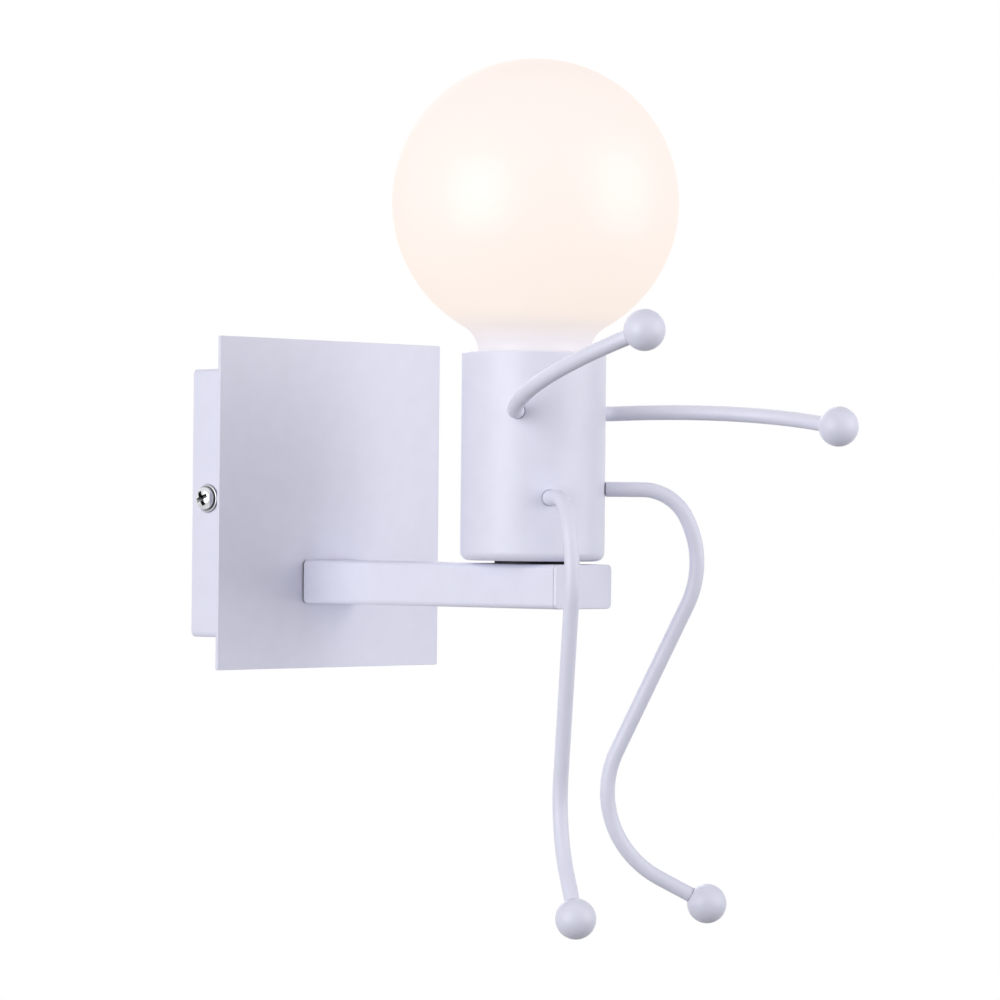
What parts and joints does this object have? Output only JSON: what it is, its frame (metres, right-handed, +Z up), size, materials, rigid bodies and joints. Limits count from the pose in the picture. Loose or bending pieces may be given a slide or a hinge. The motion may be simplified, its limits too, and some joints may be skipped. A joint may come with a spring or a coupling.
{
  "type": "wall sconce",
  "caption": "Stick-figure wall sconce: square canopy, tube arm, upright lamp cup as body, opal globe bulb as head, and bent rod arms and legs with ball ends that turn in the cup.",
  "frame": {"origin": "on the wall plane, midway between the bracket's two slots", "axes": "+Z up, -Y out of the wall along the arm, +X to the right for a viewer who faces the wall"},
  "size_m": [0.1134, 0.2093, 0.2869],
  "materials": {
    "white_paint": "satin cool white powder coat",
    "chromed_screw": "bright",
    "zinc_steel": "zinc plated",
    "brass": "plain",
    "white_nylon": "matt",
    "black_phenolic": "moulded, low gloss",
    "black_rubber": "matt",
    "earth_insulation": "smooth",
    "live_insulation": "smooth",
    "neutral_insulation": "smooth",
    "opal_glass": "opal, lit warm white",
    "clear_glass": "clear",
    "nickel_cap": "nickel plated",
    "filament_phosphor": "phosphor coat"
  },
  "bodies": {
    "fixture": {"wall_bracket": "zinc_steel", "canopy_box": "white_paint", "face_plate": "white_paint", "side_screws": "chromed_screw", "side_washers": "chromed_screw", "terminal_block": "white_nylon", "terminal_tubes": "brass", "clamp_screws": "zinc_steel", "block_screw": "zinc_steel", "earth_screw": "brass", "earth_wire": "earth_insulation", "live_wire": "live_insulation", "neutral_wire": "neutral_insulation", "wire_bush": "black_rubber", "arm_tube": "white_paint", "arm_end_cap": "white_paint", "arm_root_block": "zinc_steel", "arm_screws": "zinc_steel", "arm_screw_washers": "zinc_steel", "spacer_washer": "black_rubber", "lamp_cup": "white_paint", "nipple": "zinc_steel", "nipple_nuts": "zinc_steel", "holder_base": "black_phenolic", "holder_body": "black_phenolic", "screw_shell": "brass", "centre_contact": "brass", "holder_screws": "brass", "limb_washers": "zinc_steel"},
    "bulb": {"bulb_globe": "opal_glass", "bulb_cap": "nickel_cap", "bulb_insulator": "black_phenolic", "bulb_contact": "zinc_steel", "bulb_stem": "clear_glass", "bulb_supports": "zinc_steel", "bulb_filaments": "filament_phosphor"},
    "left_arm": {"left_arm_rod": "white_paint", "left_hand": "white_paint", "left_arm_nut": "zinc_steel"},
    "right_arm": {"right_arm_rod": "white_paint", "right_hand": "white_paint", "right_arm_nut": "zinc_steel"},
    "left_leg": {"left_leg_rod": "white_paint", "left_foot": "white_paint", "left_leg_nut": "zinc_steel"},
    "right_leg": {"right_leg_rod": "white_paint", "right_foot": "white_paint", "right_leg_nut": "zinc_steel"}
  },
  "joints": [
    {"name": "left_arm_turn", "type": "hinge", "parent": "fixture", "child": "left_arm", "pos_m": [-0.0213, -0.12315, 0.0294], "axis": [-0.891, -0.454, 0], "range_deg": [-90, 90]},
    {"name": "right_arm_turn", "type": "hinge", "parent": "fixture", "child": "right_arm", "pos_m": [0.0213, -0.12315, 0.0294], "axis": [0.891, -0.454, 0], "range_deg": [-90, 90]},
    {"name": "left_leg_turn", "type": "hinge", "parent": "fixture", "child": "left_leg", "pos_m": [-0.01438, -0.13139, 0.0011], "axis": [-0.6018, -0.7986, 0], "range_deg": [-60, 10]},
    {"name": "right_leg_turn", "type": "hinge", "parent": "fixture", "child": "right_leg", "pos_m": [0.01438, -0.13139, 0.0042], "axis": [0.6018, -0.7986, 0], "range_deg": [-15, 55]},
    {"name": "bulb_lift", "type": "slide", "parent": "fixture", "child": "bulb", "axis": [0, 0, 1], "range_m": [0, 0.032]}
  ]
}
